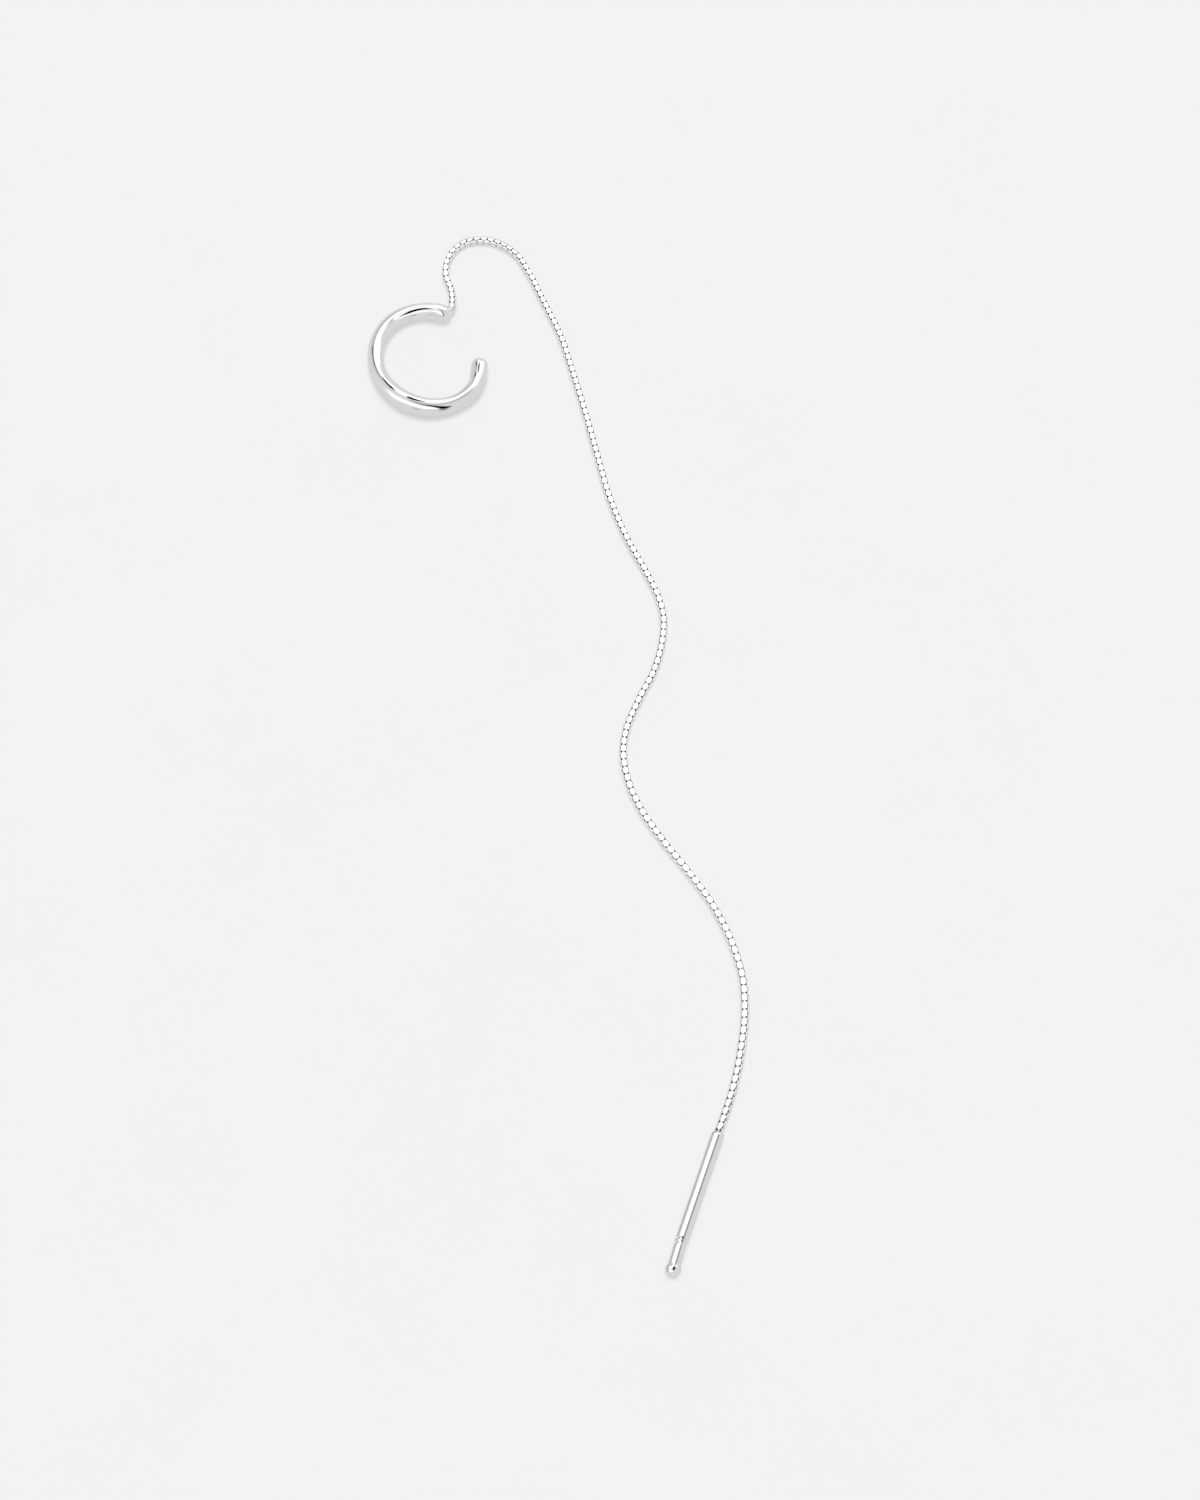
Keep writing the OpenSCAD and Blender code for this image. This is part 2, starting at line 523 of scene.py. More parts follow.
def union(target, tool):
    """Fuses one closed mesh into another, as solder does."""
    modifier = target.modifiers.new("solder", "BOOLEAN")
    modifier.operation = "UNION"
    modifier.solver = "EXACT"
    modifier.object = tool
    bpy.context.view_layer.update()
    evaluated = target.evaluated_get(bpy.context.evaluated_depsgraph_get())
    fused = bpy.data.meshes.new_from_object(evaluated)
    target.modifiers.remove(modifier)
    old = target.data
    target.data = fused
    bpy.data.meshes.remove(old)
    bpy.data.objects.remove(tool)
    fused.polygons.foreach_set("use_smooth", [True] * len(fused.polygons))
    return target


def dress(piece, node, material):
    """Puts a material on a piece, lets it stand for its node and ride with the part.

    The surface takes the piece's soft shadow, but no glints thrown down by the bright metal.
    """
    piece.data.materials.clear()
    piece.data.materials.append(material)
    piece.visible_diffuse = False
    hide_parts(node)
    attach(piece, BODY)


# Polished silver

# Scales are per metre: clouds of wear about a millimetre wide, fine grain, and polishing marks that
# run along X. Each mask starts and ends at a share of its noise.
CLOUD_SCALE, CLOUD_DETAIL = 900.0, 4.0
GRAIN_SCALE, GRAIN_DETAIL, GRAIN_ROUGHNESS = 26000.0, 3.0, 0.6
MARK_SCALE, MARK_DETAIL = (2600.0, 30000.0, 9000.0), 2.0
TARNISH_MASK, WEAR_MASK, MARK_MASK = (0.45, 0.8), (0.4, 0.75), (0.55, 0.75)
TARNISH_SHARE = 0.1
TARNISH_LEVEL = 0.62
# Colour of a link's inside, as a share of the silver: tarnish and painted shade between the links.
RECESS_TARNISH_AND_SHADE_LEVEL = 0.25
GRAIN_SHARE = 0.6
SILVER_BUMP = 0.01 * MM


def polished_silver(name, colour, sheen, wear, recess=None):
    """Mirror-bright silver with faint polishing marks, hand wear and a breath of tarnish."""
    material = bpy.data.materials.new(name)
    material.use_nodes = True
    g = Graph(material.node_tree)
    place = g.node("ShaderNodeTexCoord")["Object"]
    clouds = g.noise(place, CLOUD_SCALE, CLOUD_DETAIL)
    grain = g.noise(place, GRAIN_SCALE, GRAIN_DETAIL, GRAIN_ROUGHNESS)
    marks = g.noise(stretched(g, place, MARK_SCALE), 1.0, MARK_DETAIL)
    tarnish = clouds.between(*TARNISH_MASK) * TARNISH_SHARE
    base = g.mix(tarnish, colour4(colour), colour4(colour, TARNISH_LEVEL))
    # Darker inside of each chain link: tarnish and painted shade.
    if recess:
        inside_tarnish_and_shade = g.node("ShaderNodeAttribute", {"attribute_name": recess})["Fac"]
        base = g.mix(inside_tarnish_and_shade, base, colour4(colour, RECESS_TARNISH_AND_SHADE_LEVEL))
    rough = sheen + clouds.between(*WEAR_MASK) * wear + marks.between(*MARK_MASK) * wear
    height = grain * GRAIN_SHARE + marks * (1 - GRAIN_SHARE)
    sockets = {"Height": height, "Strength": 0.02, "Distance": SILVER_BUMP}
    bump = g.node("ShaderNodeBump", {}, sockets)["Normal"]
    sockets = {"Base Color": base, "Metallic": 1.0, "Roughness": rough, "Normal": bump}
    shader = g.node("ShaderNodeBsdfPrincipled", {}, sockets)["BSDF"]
    g.node("ShaderNodeOutputMaterial", {}, {"Surface": shader})
    return material


def stretched(g, place, scale):
    """Coordinates scaled apart along X, Y and Z, so that marks run one way."""
    sockets = {"Vector": place, "Scale": scale}
    return g.node("ShaderNodeMapping", {"vector_type": "POINT"}, sockets)["Vector"]


# Chain's route


class ChainRoute:
    """The smooth line of the chain, the same as in the part's source, with its roll and length."""

    SAMPLES = 60

    def __init__(self, width):
        self.width = width
        route = np.array(ROUTE, float)
        self.points = np.column_stack([route[:, 0], route[:, 1], route[:, 2] + width / 2])
        self.rolls = np.radians(route[:, 3])
        steps = np.diff(self.points, axis=0)
        self.spans = np.linalg.norm(steps, axis=1)
        self.slopes = steps / self.spans[:, None]
        headings = [self.slopes[0]]
        for i in range(1, len(self.spans)):
            before, after = self.spans[i - 1], self.spans[i]
            headings.append(
                (self.slopes[i - 1] * after + self.slopes[i] * before) / (before + after)
            )
        headings.append(self.slopes[-1])
        self.headings = np.array(headings)
        shares = np.linspace(0, len(self.spans), len(self.spans) * self.SAMPLES + 1)
        self.line = np.array([self.at_share(q) for q in shares])
        self.reach = np.concatenate(
            [[0], np.cumsum(np.linalg.norm(np.diff(self.line, axis=0), axis=1))]
        )
        self.shares = shares
        self.length = float(self.reach[-1])

    def at_share(self, q):
        i = min(int(q), len(self.spans) - 1)
        t = q - i
        h = self.spans[i]
        a, b = self.points[i], self.points[i + 1]
        m, n = self.headings[i] * h, self.headings[i + 1] * h
        return (
            a * (2 * t**3 - 3 * t * t + 1)
            + m * (t**3 - 2 * t * t + t)
            + b * (3 * t * t - 2 * t**3)
            + n * (t**3 - t * t)
        )

    def place(self, along):
        """Point and direction of the line at a distance from its start, which may lie past an end."""
        inside = min(max(along, 0.0), self.length)
        step = 0.02 * MM
        point = self.between(inside)
        heading = unit(self.between(inside + step) - self.between(inside - step))
        return point + heading * (along - inside), heading

    def between(self, along):
        along = min(max(along, 0.0), self.length)
        return np.array([np.interp(along, self.reach, self.line[:, k]) for k in range(3)])

    def roll(self, along):
        share = np.interp(along, self.reach, self.shares)
        i = min(int(share), len(self.rolls) - 2)
        return self.rolls[i] + (self.rolls[i + 1] - self.rolls[i]) * smooth_share(share - i)


# Ear cuff


class CuffLine:
    """The ring's middle line and thickness, as in the part's source."""

    END_SHARE = 0.16
    TUCK_SHARE = 0.22

    def __init__(self, sizes, route, gap):
        self.sizes = sizes
        self.u = (sizes.inside_depth + sizes.wire) / 2
        self.v = (sizes.inside_width + sizes.wire) / 2
        self.arm = math.pi - math.asin((sizes.mouth + sizes.end) / 2 / self.v)
        start, slope = route.points[0], route.slopes[0]
        self.lug_tip = start - slope * (sizes.lug / 2 + gap)
        run = sizes.end / 2 + sizes.lug_reach
        self.end_middle = np.array(
            [
                self.lug_tip[0] - run * math.cos(sizes.lug_turn),
                self.lug_tip[1] - run * math.sin(sizes.lug_turn),
                sizes.end / 2,
            ]
        )
        self.middle = self.end_middle[:2] - self.oval(self.arm)

    def oval(self, a):
        p = np.array([-self.u * math.cos(a), self.v * math.sin(a)])
        free = 1 - (self.arm + a) / self.arm / self.TUCK_SHARE
        p = p - unit(p) * self.sizes.tuck * smooth_share(free)
        c, s = math.cos(self.sizes.turn), math.sin(self.sizes.turn)
        return np.array([p[0] * c - p[1] * s, p[0] * s + p[1] * c])

    def thickness(self, a):
        s = self.sizes
        thick = 1 - smooth_share(abs(a - s.thick_turn) / s.thick_reach)
        end = smooth_share(1 - (1 - abs(a) / self.arm) / self.END_SHARE)
        return s.wire + (s.thick - s.wire) * thick + (s.end - s.wire) * end

    def point(self, a):
        flat = self.middle + self.oval(a)
        return np.array([flat[0], flat[1], self.thickness(a) / 2])

    def heading(self, a):
        step = math.radians(0.5)
        d = self.oval(a + step) - self.oval(a - step)
        return unit([d[0], d[1], 0.0])


CUFF_SECTIONS = 360
CUFF_SIDES = 64
DOME_RINGS = 16


def cuff_rings(line):
    """Centre, direction and radius of each ring of the cuff's skin, domes included."""
    rings = []
    radius = line.sizes.end / 2
    for k in range(1, DOME_RINGS):
        w = math.pi / 2 * k / DOME_RINGS
        rings.append((w, radius * math.cos(w), -radius * math.sin(w)))
    first = [(-line.arm, r, along) for w, r, along in reversed(rings)]
    last = [(line.arm, r, -along) for w, r, along in rings]
    body = [
        (a, line.thickness(a) / 2, 0.0)
        for a in np.linspace(-line.arm, line.arm, CUFF_SECTIONS + 1)
    ]
    return first + body + last


def make_cuff_skin(line):
    angles = np.arange(CUFF_SIDES) * 2 * math.pi / CUFF_SIDES
    points = []
    for a, radius, along in cuff_rings(line):
        heading = line.heading(a)
        across = unit(np.cross(UP, heading))
        centre = line.point(a) + heading * along
        points.append(
            centre + radius * (np.cos(angles)[:, None] * across + np.sin(angles)[:, None] * UP)
        )
    rings = len(points)
    for side in (-1, 1):
        a = side * line.arm
        points.append([line.point(a) + line.heading(a) * side * line.sizes.end / 2])
    return mesh_object("ear_cuff_skin", np.concatenate(points), ring_faces(rings, CUFF_SIDES))


# The lug's foot as a multiple of its radius, how far the foot sinks into the dome and where its
# hidden root starts, as shares. Then the lug's facets, and where its round top stops, in degrees.
LUG_FOOT = 2.3
LUG_SINK = 0.98
LUG_ROOT = 0.8
LUG_STEPS = 8
LUG_SIDES = 32
LUG_TOP = 84


def make_lug(line):
    """The solder that flows from the rounded end into the chain's first link."""
    sizes = line.sizes
    run = line.lug_tip - line.end_middle
    length = float(np.linalg.norm(run))
    radius = sizes.lug / 2
    foot = radius * LUG_FOOT
    start = math.sqrt((sizes.end / 2) ** 2 - foot**2) * LUG_SINK
    root = start * LUG_ROOT
    outline = [(0.0, root), (foot, root)]
    outline += quarter((foot, start + foot - radius), foot - radius, -90, -180, LUG_STEPS)
    outline += quarter((0.0, length), radius, 0, LUG_TOP, LUG_STEPS)
    outline.append((0.0, length + radius))
    points, faces = turned(outline, line.end_middle, run, LUG_SIDES)
    return mesh_object("lug", points, faces)


class EARRING_OT_cuff(bpy.types.Operator):
    """Build the polished ear cuff with its soldered lug"""

    bl_idname = "earring.cuff"
    bl_label = "Ear cuff"

    def execute(self, context):
        sizes = context.scene.earring_cuff
        chain = context.scene.earring_chain
        line = CuffLine(sizes, ChainRoute(chain.width), chain.gap)
        piece = union(make_cuff_skin(line), make_lug(line))
        piece.name = "polished_cuff"
        silver = polished_silver("cuff silver", sizes.silver, sheen=0.02, wear=0.03)
        dress(piece, "ear_cuff", silver)
        return {"FINISHED"}


# Box chain

# A link's strip: points around it and how square they lie, and the rounding of the link's corners.
SECTION_POINTS = 12
SECTION_SQUARENESS = 2.3
CORNER_SHARE = 0.1
CORNER_STEPS = 3

# Corners of a link: side along the chain, side over it, angle where the rounding starts. A plate
# follows the corners that start at 0 and 180 degrees.
LINK_CORNERS = ((1, 1, 0), (-1, 1, 90), (-1, -1, 180), (1, -1, 270))
PLATE_CORNERS = (0, 180)

# How far a plate has widened from the neck, as a share: at its corners, then at places along it.
FLAT_SHARE = 0.68
FLAT_POWER = 3
PLATE_STATIONS = ((0.84, 0.9), (0.6, 0.99), (0.0, 1.0), (-0.6, 0.99), (-0.84, 0.9))

# Depth in a link's wall where the darker inside begins, and over which it grows: tarnish and painted
# shade between the links.
RECESS_START = 0.4
RECESS_REACH = 0.3

# Play of each link about the chain's line, in degrees, and the seed of its random numbers.
LINK_PLAY = 1
LINK_SEED = 7


def strip_section(width, wall):
    """Points around a strip with soft edges: across its width and through its wall."""
    angles = np.arange(SECTION_POINTS) * 2 * math.pi / SECTION_POINTS
    power = 2 / SECTION_SQUARENESS
    c, s = np.cos(angles), np.sin(angles)
    across = np.sign(c) * np.abs(c) ** power * width / 2
    through = np.sign(s) * np.abs(s) ** power * wall / 2
    return across, through


def link_loop(sizes):
    """Places, outward directions and widths along a link's strip, a box with rounded corners."""
    along = (sizes.link - sizes.wall) / 2
    over = (sizes.width - sizes.wall) / 2
    corner = min(along, over) * CORNER_SHARE
    places, outs, widths = [], [], []
    for x, y, start in LINK_CORNERS:
        for k in range(CORNER_STEPS + 1):
            w = math.radians(start + 90 * k / CORNER_STEPS)
            out = np.array([math.cos(w), math.sin(w)])
            places.append(np.array([x * (along - corner), y * (over - corner)]) + corner * out)
            outs.append(out)
            plate = FLAT_SHARE * abs(math.sin(w)) ** FLAT_POWER
            widths.append(sizes.neck + (sizes.strip - sizes.neck) * plate)
        if start in PLATE_CORNERS:
            for share, plate in PLATE_STATIONS:
                places.append(np.array([x * (along - corner) * share, y * over]))
                outs.append(np.array([0.0, y]))
                widths.append(sizes.neck + (sizes.strip - sizes.neck) * plate)
    return places, outs, widths


def one_link(sizes):
    """Points of a link (along, over, across), its faces, and how deep each point lies in it."""
    points, depth = [], []
    for place, out, width in zip(*link_loop(sizes)):
        for a, t in zip(*strip_section(width, sizes.wall)):
            edge = place + out * t
            points.append((edge[0], edge[1], a))
            depth.append(0.5 - t / sizes.wall)
    sides = SECTION_POINTS
    stations = len(points) // sides
    faces = []
    for i in range(stations):
        n = (i + 1) % stations
        for j in range(sides):
            k = (j + 1) % sides
            faces.append((i * sides + j, i * sides + k, n * sides + k, n * sides + j))
    return np.array(points), np.array(faces), np.array(depth)


def resting_height(sizes, roll):
    """Height of the chain's middle when it lies rolled by an angle."""
    reach = (sizes.width - sizes.wall) / 2
    lowest = 0.0
    for turned_by in (roll, roll + math.pi / 2):
        c, s = abs(math.cos(turned_by)), abs(math.sin(turned_by))
        lowest = max(lowest, reach * c + math.hypot(sizes.strip / 2 * s, sizes.wall / 2 * c))
    return lowest


def make_links(sizes, route):
    """The whole chain as one mesh of interlocked links, every second one turned by a quarter."""
    points, faces, depth = one_link(sizes)
    count = int(round(route.length / sizes.pitch)) + 1
    pitch = route.length / (count - 1)
    noise = random.Random(LINK_SEED)
    all_points, all_faces = [], []
    for i in range(count):
        along = i * pitch
        centre, heading = route.place(along)
        roll = route.roll(along)
        across = unit(np.cross(UP, heading))
        over = np.cross(heading, across)
        centre = centre + UP * (resting_height(sizes, roll) - sizes.width / 2)
        play = math.radians(noise.uniform(-LINK_PLAY, LINK_PLAY))
        turn = -roll + (math.pi / 2 if i % 2 else 0) + play
        lift = over * math.cos(turn) - across * math.sin(turn)
        side = np.cross(heading, lift)
        placed = centre + points @ np.array([heading, lift, side])
        all_points.append(placed)
        all_faces.append(faces + i * len(points))
    mesh_points = np.concatenate(all_points)
    mesh_faces = np.concatenate(all_faces)
    made = mesh_object("box_chain_links", mesh_points, mesh_faces.tolist())
    # The darker inside of each link's wall: tarnish and painted shade between the links.
    recess = made.data.attributes.new("recess", "FLOAT", "POINT")
    inside_tarnish_and_shade = smooth_share((depth - RECESS_START) / RECESS_REACH)
    recess.data.foreach_set("value", np.tile(inside_tarnish_and_shade, count).astype(np.float32))
    return made


class EARRING_OT_chain(bpy.types.Operator):
    """Build the box chain, link by link, along its route"""

    bl_idname = "earring.chain"
    bl_label = "Box chain"

    def execute(self, context):
        sizes = context.scene.earring_chain
        piece = make_links(sizes, ChainRoute(sizes.width))
        # The links' inside is darker: tarnish and painted shade.
        silver = polished_silver("chain silver", sizes.silver, sheen=0.06, wear=0.04, recess="recess")
        dress(piece, "box_chain", silver)
        return {"FINISHED"}


# Threader bar

BAR_SIDES = 96

# The bead of solder on the bar's top (radius, distance from the top), and the softening of the
# grooves' edges.
BEAD = [(0.0, -0.1 * MM), (0.102 * MM, -0.09 * MM), (0.17 * MM, -0.03 * MM), (0.17 * MM, 0.0)]
EASE = 0.03 * MM
EASE_SHARE = 0.3

# Facets of the bar's outline: angles in degrees and numbers of steps.
SHOULDER_START = -86
SHOULDER_STEPS = 12
BAR_STEPS = 24
TIP_STEPS = 8
BALL_GAP = 3
BALL_STOP = 86
BALL_STEPS = 24


def bar_outline(sizes):
    """Outline of the bar (radius, distance from its top), grooves, tip and ball included."""
    r = sizes.thick / 2
    collar_at = sizes.length + sizes.groove
    second_at = collar_at + sizes.collar
    tip_at = second_at + sizes.groove
    ball_at = tip_at + sizes.tip_length
    neck = r - sizes.groove_deep
    tip_r = sizes.tip / 2
    edge = sizes.shoulder
    outline = list(BEAD)
    outline += quarter((r - edge, edge), edge, SHOULDER_START, 0, SHOULDER_STEPS)
    outline += straight(r, edge, sizes.length, BAR_STEPS)[:-1]
    outline += groove(r, r, neck, sizes.length, sizes.groove)
    outline += groove(r, tip_r, neck, second_at, sizes.groove)
    sink = math.asin(tip_r / (sizes.ball / 2))
    stop = ball_at - sizes.ball / 2 * math.cos(sink)
    outline += straight(tip_r, tip_at + EASE, stop, TIP_STEPS)
    start = math.degrees(sink) - 90 + BALL_GAP
    outline += quarter((0.0, ball_at), sizes.ball / 2, start, BALL_STOP, BALL_STEPS)
    outline.append((0.0, ball_at + sizes.ball / 2))
    return outline, second_at + sizes.groove / 2


def straight(radius, start, stop, steps):
    """Points of a straight stretch after its first one, at equal steps."""
    return [(radius, start + (stop - start) * k / steps) for k in range(1, steps + 1)]


def groove(before, after, neck, start, width):
    """A flat-bottomed turned groove with softened edges, from one radius to the next."""
    stop = start + width
    soft = EASE * EASE_SHARE
    return [
        (before, start - EASE),
        (before - soft, start - soft),
        (before - EASE, start),
        (neck + soft, start),
        (neck, start + soft),
        (neck, stop - soft),
        (neck + soft, stop),
        (after - EASE, stop),
        (after - soft, stop + soft),
        (after, stop + EASE),
    ]


def bar_line(sizes, route, gap):
    """Top and direction of the bar, which rests on its top edge and its ball."""
    ball_at = sizes.length + 2 * sizes.groove + sizes.collar + sizes.tip_length
    rise = math.asin((sizes.ball - sizes.thick) / 2 / ball_at)
    angle = sizes.turn - math.pi / 2
    heading = np.array(
        [math.cos(rise) * math.cos(angle), math.cos(rise) * math.sin(angle), math.sin(rise)]
    )
    stop = route.points[-1]
    return np.array([stop[0], stop[1], sizes.thick / 2]) + heading * gap, heading


def bend_tip(points, origin, heading, bend_at, bend):
    """Turns what lies past a distance sideways, about the upward direction there."""
    pivot = origin + heading * bend_at
    across = unit(np.cross(UP, heading))
    over = np.cross(heading, across)
    local = points - pivot
    along, side, lift = local @ heading, local @ across, local @ over
    past = along > 0
    c, s = math.cos(bend), math.sin(bend)
    turned_along = np.where(past, along * c - side * s, along)
    turned_side = np.where(past, side * c + along * s, side)
    return (
        pivot
        + turned_along[:, None] * heading
        + turned_side[:, None] * across
        + lift[:, None] * over
    )


class EARRING_OT_bar(bpy.types.Operator):
    """Build the turned threader bar with its grooves and ball"""

    bl_idname = "earring.bar"
    bl_label = "Threader bar"

    def execute(self, context):
        sizes = context.scene.earring_bar
        chain = context.scene.earring_chain
        origin, heading = bar_line(sizes, ChainRoute(chain.width), chain.gap)
        outline, bend_at = bar_outline(sizes)
        points, faces = turned(outline, origin, heading, BAR_SIDES)
        points = bend_tip(points, origin, heading, bend_at, sizes.tip_bend)
        piece = mesh_object("polished_bar", points, faces)
        silver = polished_silver("bar silver", sizes.silver, sheen=0.03, wear=0.03)
        dress(piece, "threader_bar", silver)
        return {"FINISHED"}


# Stage

# Bright card over the chain: place, aim, direction of its length, size and brightness.
CHAIN_CARD = (
    (10 * MM, 45 * MM, 100 * MM),
    (10 * MM, 45 * MM, 0),
    (0.0, 1.0, 0.0),
    (240 * MM, 340 * MM),
    0.97,
)

# Grey card just over the surface under the earring, which only mirrors see: painted shade of the
# surface beside the metal. Columns: place, aim, direction, size and brightness.
UNDER_SHADE_CARD = ((4 * MM, 0, 0.01 * MM), (4 * MM, 0, 1), (0.0, 1.0, 0.0), (80 * MM, 130 * MM), 0.7)

# Cards beside the bar: a lamp that lights only the bar, and grey cards that glow and only mirrors see,
# painted reflections of darker bands along it. Columns: turn from straight up toward its right,
# distance, shift toward the ball, size across and along, brightness.
BAR_CARDS = [
    ("bar_light", math.radians(-29), 60 * MM, -8 * MM, (72 * MM, 40 * MM), 1.0),
    ("bar_over", math.radians(15), 12 * MM, -1 * MM, (7.8 * MM, 18 * MM), 0.38),
    ("bar_left", math.radians(-91), 1.15 * MM, 1 * MM, (0.66 * MM, 14 * MM), 0.42),
    ("bar_right", math.radians(107), 1.15 * MM, 1 * MM, (0.6 * MM, 14 * MM), 0.66),
]

# Small cards close over the first groove and the ball, which only mirrors see: black ones are painted
# dark reflections, the grey one a painted highlight on the ball. Columns: what they face and where
# they are, as distances from the bar's top, shift toward its right, height, size across and along,
# brightness.
TIP_CARDS = [
    ("groove_dot", 8.66 * MM, 8.66 * MM, 0.02 * MM, 0.7 * MM, (0.36 * MM, 0.26 * MM), 0.0),
    ("ball_dot", 10.94 * MM, 10.87 * MM, 0.09 * MM, 0.82 * MM, (0.35 * MM, 0.4 * MM), 0.0),
    ("ball_light", 10.94 * MM, 11.6 * MM, 0.54 * MM, 0.75 * MM, (0.9 * MM, 0.9 * MM), 0.7),
]

# Ribbons close over the cuff's wire, which only mirrors see: painted reflections, glowing ones for
# bright bands and black ones for dark streaks. Columns: height over it, brightness, and rows of the
# share of an arm's length from the ring's back, positive toward the lug and negative toward the free
# end, shift toward the ring's inside and width there, in millimetres.
CUFF_RIBBONS = [
    (
        "arm_side",
        0.36 * MM,
        0.75,
        [(0.6, 1.9, 2.0), (0.95, 1.9, 2.0)],
    ),
    (
        "arm_white",
        0.33 * MM,
        1.0,
        [(0.58, 0.3, 0), (0.67, 0.5, 1.5), (0.78, 0.6, 2.1), (0.85, 0.3, 1.7), (0.96, 0.3, 0.5)],
    ),
    (
        "arm_streak",
        0.3 * MM,
        0.0,
        [(0.64, 0.6, 0), (0.74, 0.5, 0.45), (0.79, 0.38, 0.38), (0.86, 0.25, 0.3), (0.95, 0.3, 0)],
    ),
    (
        "back_streak",
        0.3 * MM,
        0.0,
        [(-0.13, 0.06, 0), (-0.08, 0.04, 0.3), (0.0, 0.03, 0.24), (0.06, 0.02, 0)],
    ),
    (
        "low_streak",
        0.3 * MM,
        0.0,
        [(-0.4, 0.2, 0), (-0.34, 0.19, 0.2), (-0.26, 0.17, 0.4), (-0.23, 0.16, 0.3), (-0.22, 0.16, 0)],
    ),
    (
        "end_mark",
        0.3 * MM,
        0.0,
        [(-1.01, -0.05, 0.1), (-0.98, -0.05, 0.24), (-0.94, -0.05, 0.2), (-0.91, -0.05, 0)],
    ),
]
RIBBON_STEPS = 40

# The pale surface: half its side and the cells along it, the scales of its mottle and tooth per metre,
# and how much darker the mottle is.
FLOOR_HALF = 1.5
FLOOR_CELLS = 8
MOTTLE_SCALE, MOTTLE_DETAIL, MOTTLE_MASK = 60.0, 3.0, (0.3, 0.7)
MOTTLE_LEVEL = 0.996
TOOTH_SCALE, TOOTH_DETAIL = 9000.0, 2.0
TOOTH_BUMP = 0.02 * MM

# Height of the camera's sensor in millimetres, and the nearest distance that it sees.
SENSOR_HEIGHT = 36
NEAREST, FARTHEST = 5 * MM, 20

# Least distance from straight up on the sky, which keeps a division from zero.
LEAST = 1e-5


def pale_surface(colour):
    """Smooth matte card with the faintest mottle."""
    material = bpy.data.materials.new("pale surface")
    material.use_nodes = True
    g = Graph(material.node_tree)
    place = g.node("ShaderNodeTexCoord")["Object"]
    mottle = g.noise(place, MOTTLE_SCALE, MOTTLE_DETAIL).between(*MOTTLE_MASK)
    tooth = g.noise(place, TOOTH_SCALE, TOOTH_DETAIL)
    sockets = {"Height": tooth, "Strength": 0.04, "Distance": TOOTH_BUMP}
    bump = g.node("ShaderNodeBump", {}, sockets)["Normal"]
    base = g.mix(mottle, colour4(colour, MOTTLE_LEVEL), colour4(colour))
    sockets = {"Base Color": base, "Roughness": 0.85, "Specular IOR Level": 0.2, "Normal": bump}
    shader = g.node("ShaderNodeBsdfPrincipled", {}, sockets)["BSDF"]
    g.node("ShaderNodeOutputMaterial", {}, {"Surface": shader})
    return material


def stroke(u, v, start, stop, wide_start, wide_stop, softness):
    """Soft mask of a straight stroke between two points of the sky."""
    du, dv = stop[0] - start[0], stop[1] - start[1]
    share = (((u - start[0]) * du + (v - start[1]) * dv) / (du * du + dv * dv)).clamp()
    away_u = u - start[0] - share * du
    away_v = v - start[1] - share * dv
    away = (away_u * away_u + away_v * away_v).math("SQRT")
    edge = away - (share * (wide_stop - wide_start) + wide_start)
    return 1 - edge.between(-softness, softness)


def studio_sky(world):
    """Bright soft surroundings, with the panels and the dark gaps that polished metal mirrors."""
    world.use_nodes = True
    world.cycles_visibility.diffuse = False
    g = Graph(world.node_tree)
    x, y, z = g.split(g.node("ShaderNodeTexCoord")["Generated"])
    flat = (x * x + y * y).math("SQRT").math("MAXIMUM", LEAST)
    from_top = z.math("ARCCOSINE") * math.degrees(1)
    u, v = from_top * x / flat, from_top * y / flat
    level = SKY_LEVEL
    for bright, *panel in SKY_PANELS:
        level = level + stroke(u, v, *panel) * (bright - level)
    sockets = {"Color": colour4(SKY_COLOUR), "Strength": level}
    light = g.node("ShaderNodeBackground", {}, sockets)["Background"]
    g.node("ShaderNodeOutputWorld", {}, {"Surface": light})


def make_camera(studio):
    """Looks down on the aim at the photo's viewing angle."""
    camera = bpy.data.cameras.new("camera")
    camera.sensor_fit = "VERTICAL"
    camera.sensor_height = SENSOR_HEIGHT
    camera.lens = studio.lens
    camera.clip_start = NEAREST
    camera.clip_end = FARTHEST
    made = bpy.data.objects.new("camera", camera)
    aim = np.array(studio.aim)
    e = studio.elevation
    made.location = aim + studio.distance * np.array([0, -math.cos(e), math.sin(e)])
    made.rotation_euler = (math.pi / 2 - e, 0, 0)
    bpy.context.scene.collection.objects.link(made)
    bpy.context.scene.camera = made


def aim_light(made, place, aim, along=(0.0, 1.0, 0.0)):
    """Puts a light or card somewhere, facing a point, its length along a direction."""
    back = unit(np.array(place) - np.array(aim))
    side = unit(np.cross(along, back))
    turn = Matrix(np.column_stack([side, np.cross(back, side), back]).tolist())
    made.matrix_world = Matrix.Translation(place) @ turn.to_4x4()
    if made.name not in bpy.context.scene.collection.objects:
        bpy.context.scene.collection.objects.link(made)


def surface_light(name, strength, spread, away):
    """A distant light that shades the surface but isn't mirrored by the metal."""
    light = bpy.data.lights.new(name, "SUN")
    light.energy = strength
    light.angle = spread
    made = bpy.data.objects.new(name, light)
    made.visible_glossy = False
    aim_light(made, away, (0, 0, 0))
    return light


def light_surface(studio):
    """A soft key from behind the earring, and a shadowless fill from above."""
    reach = math.cos(studio.key_height)
    turn = studio.key_turn
    away = (reach * math.sin(turn), reach * math.cos(turn), math.sin(studio.key_height))
    surface_light("key", studio.key, studio.key_spread, away)
    surface_light("fill", studio.fill, 0, UP).use_shadow = False


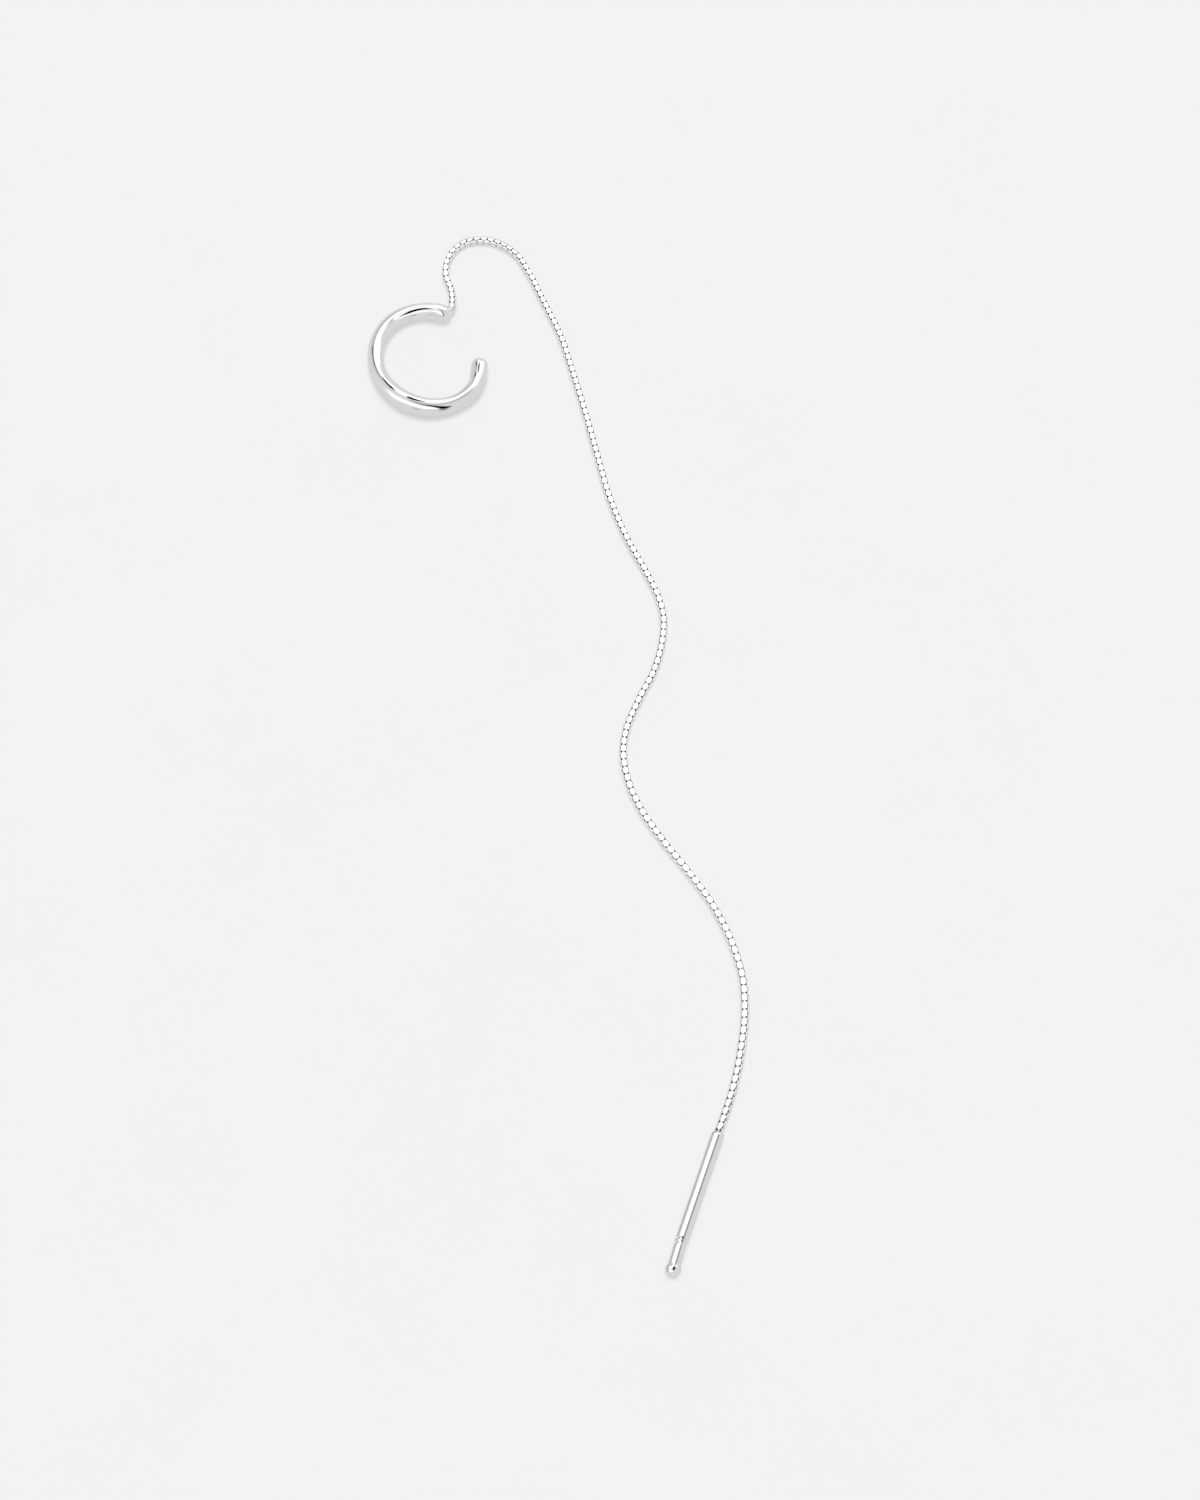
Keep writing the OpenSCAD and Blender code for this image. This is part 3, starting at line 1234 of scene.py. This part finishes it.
def bright_card(name, place, aim, along, size, brightness, piece):
    """A bright card held over a piece, which mirrors it; the surface isn't lit by it."""
    light = bpy.data.lights.new(name, "AREA")
    light.shape = "RECTANGLE"
    light.size, light.size_y = size
    light.energy = brightness * math.pi * size[0] * size[1]
    made = bpy.data.objects.new(name, light)
    made.visible_camera = False
    aim_light(made, place, aim, along)
    lit = bpy.data.collections.new(name)
    lit.objects.link(piece)
    made.light_linking.receiver_collection = lit


def grey_card(name, place, aim, along, size, brightness):
    """A grey card close to a piece, which glows evenly and only mirrors see: a painted reflection."""
    w, d = size[0] / 2, size[1] / 2
    made = mesh_object(name, [(-w, -d, 0), (w, -d, 0), (w, d, 0), (-w, d, 0)], [(0, 1, 2, 3)])
    aim_light(made, place, aim, along)
    only_mirrored(made, brightness)


def only_mirrored(made, brightness):
    """Makes a stage piece glow evenly, so that only mirrors see it."""
    material = bpy.data.materials.new(made.name)
    material.use_nodes = True
    material.cycles.emission_sampling = "NONE"
    g = Graph(material.node_tree)
    glow = g.node("ShaderNodeEmission", {}, {"Strength": brightness})["Emission"]
    g.node("ShaderNodeOutputMaterial", {}, {"Surface": glow})
    made.data.materials.append(material)
    for rays in ("camera", "diffuse", "shadow", "transmission"):
        setattr(made, "visible_" + rays, False)


def hold_ribbons(cuff, chain):
    """Ribbons that follow the cuff's wire and are mirrored along it: painted reflections, unseen by the
    camera.
    """
    line = CuffLine(cuff, ChainRoute(chain.width), chain.gap)
    for name, height, brightness, rows in CUFF_RIBBONS:
        shares, inward, width = np.array(rows).T
        points = []
        for q in np.linspace(shares[0], shares[-1], RIBBON_STEPS + 1):
            a = q * line.arm
            inside = -unit(np.cross(UP, line.heading(a)))
            over = line.point(a) + UP * (line.thickness(a) / 2 + height)
            middle = np.interp(q, shares, inward) * MM
            half = np.interp(q, shares, width) * MM / 2
            points += [over + inside * (middle - half), over + inside * (middle + half)]
        faces = [(2 * k, 2 * k + 1, 2 * k + 3, 2 * k + 2) for k in range(RIBBON_STEPS)]
        only_mirrored(mesh_object(name, points, faces), brightness)


def hold_cards(bar, chain):
    """Lamps over the chain and beside the bar, and glowing cards that only mirrors see: painted
    reflections.
    """
    links, shaft = (bpy.data.objects[name] for name in ("box_chain_links", "polished_bar"))
    bright_card("chain_card", *CHAIN_CARD, links)
    grey_card("under_card", *UNDER_SHADE_CARD)
    origin, heading = bar_line(bar, ChainRoute(chain.width), chain.gap)
    across = unit(np.cross(UP, heading))
    over = np.cross(heading, across)
    middle = origin + heading * bar.length / 2
    for name, turn, away, shift, size, brightness in BAR_CARDS:
        aim = middle + shift * heading
        place = aim + away * (math.sin(turn) * across + math.cos(turn) * over)
        if name == "bar_light":
            bright_card(name, place, aim, heading, size, brightness, shaft)
        else:
            grey_card(name, place, aim, heading, size, brightness)
    for name, faced, along, right, height, size, brightness in TIP_CARDS:
        aim = origin + heading * faced
        place = origin + heading * along + across * right + over * height
        grey_card(name, place, aim, heading, size, brightness)


def make_floor(colour):
    """The pale surface that the earring lies on."""
    row = FLOOR_CELLS + 1
    steps = np.linspace(-FLOOR_HALF, FLOOR_HALF, row)
    points = [(x, y, 0.0) for y in steps for x in steps]
    faces = [
        (j * row + i, j * row + i + 1, (j + 1) * row + i + 1, (j + 1) * row + i)
        for j in range(FLOOR_CELLS)
        for i in range(FLOOR_CELLS)
    ]
    floor = mesh_object("surface", points, faces)
    floor.data.materials.append(pale_surface(colour))


class EARRING_OT_stage(bpy.types.Operator):
    """Build the pale surface, the soft light and the camera"""

    bl_idname = "earring.stage"
    bl_label = "Stage"

    def execute(self, context):
        studio = context.scene.earring_studio
        make_camera(studio)
        make_floor(studio.floor)
        world = bpy.data.worlds.new("studio")
        context.scene.world = world
        studio_sky(world)
        light_surface(studio)
        hold_cards(context.scene.earring_bar, context.scene.earring_chain)
        hold_ribbons(context.scene.earring_cuff, context.scene.earring_chain)
        context.scene.view_settings.view_transform = "Standard"
        return {"FINISHED"}


PIECES = (EARRING_OT_cuff, EARRING_OT_chain, EARRING_OT_bar, EARRING_OT_stage)
SETTINGS = {
    "earring_cuff": CuffSettings,
    "earring_chain": ChainSettings,
    "earring_bar": BarSettings,
    "earring_studio": StudioSettings,
}


class EARRING_PT_pieces(bpy.types.Panel):
    bl_label = "Ear chain earring"
    bl_space_type = "VIEW_3D"
    bl_region_type = "UI"
    bl_category = "Earring"

    def draw(self, context):
        for operator in PIECES:
            self.layout.operator(operator.bl_idname)
        for name, group in SETTINGS.items():
            box = self.layout.box()
            for field in group.__annotations__:
                box.prop(getattr(context.scene, name), field)


def register():
    for group in SETTINGS.values():
        bpy.utils.register_class(group)
    for name, group in SETTINGS.items():
        setattr(bpy.types.Scene, name, PointerProperty(type=group))
    for made in (*PIECES, EARRING_PT_pieces):
        bpy.utils.register_class(made)


def unregister():
    for made in (EARRING_PT_pieces, *reversed(PIECES)):
        bpy.utils.unregister_class(made)
    for name, group in reversed(SETTINGS.items()):
        delattr(bpy.types.Scene, name)
        bpy.utils.unregister_class(group)


def main():
    register()
    bpy.ops.earring.cuff()
    bpy.ops.earring.chain()
    bpy.ops.earring.bar()
    bpy.ops.earring.stage()


if __name__ == "__main__":
    main()
